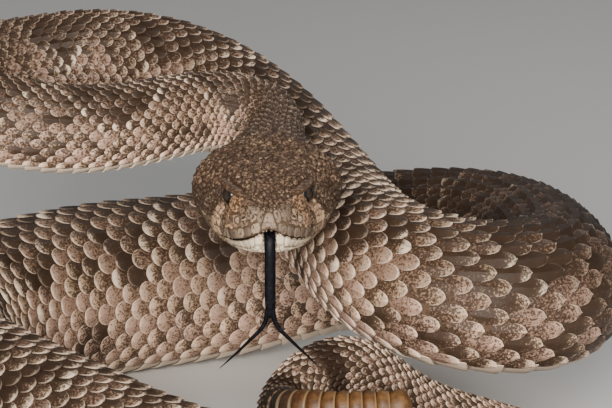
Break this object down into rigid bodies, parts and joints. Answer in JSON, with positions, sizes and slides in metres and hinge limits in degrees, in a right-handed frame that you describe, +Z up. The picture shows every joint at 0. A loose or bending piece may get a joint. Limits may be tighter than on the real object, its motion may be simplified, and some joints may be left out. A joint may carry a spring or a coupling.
{
  "type": "western diamondback rattlesnake",
  "caption": "Life-size still model of a coiled rattlesnake, head raised forward with the forked tongue out, body looped back over itself and the rattle held up.",
  "frame": {"origin": "under the middle of the whole animal, on the floor that the lowest coils lie on", "axes": "+Z up; the head faces -Y; +X is to the right of someone who faces the snake's face"},
  "size_m": [0.209, 0.2218, 0.1084],
  "materials": {
    "head_skin": "matte, finely scaled, speckled dark brown",
    "body_skin": "satin keeled scales, grey-brown with dark blotches and pale scale tips",
    "tail_skin": "ash grey scales with black bands",
    "lip_skin": "smooth cream lip plates",
    "eye": "glossy, dark with an upright slit pupil",
    "tongue": "wet black",
    "rattle": "dry amber horn with pale grooves"
  },
  "bodies": {
    "root": {"head": "head_skin", "lower_jaw": "lip_skin", "eye_left": "eye", "eye_right": "eye", "tongue": "tongue", "neck": "body_skin", "body_01": "body_skin", "body_02": "body_skin", "body_03": "body_skin", "body_04": "body_skin", "body_05": "body_skin", "body_06": "body_skin", "body_07": "body_skin", "body_08": "body_skin", "body_09": "body_skin", "body_10": "body_skin", "body_11": "body_skin", "body_12": "body_skin", "body_13": "body_skin", "body_14": "body_skin", "body_15": "body_skin", "body_16": "body_skin", "tail_01": "tail_skin", "tail_02": "tail_skin", "rattle": "rattle"}
  },
  "joints": []
}
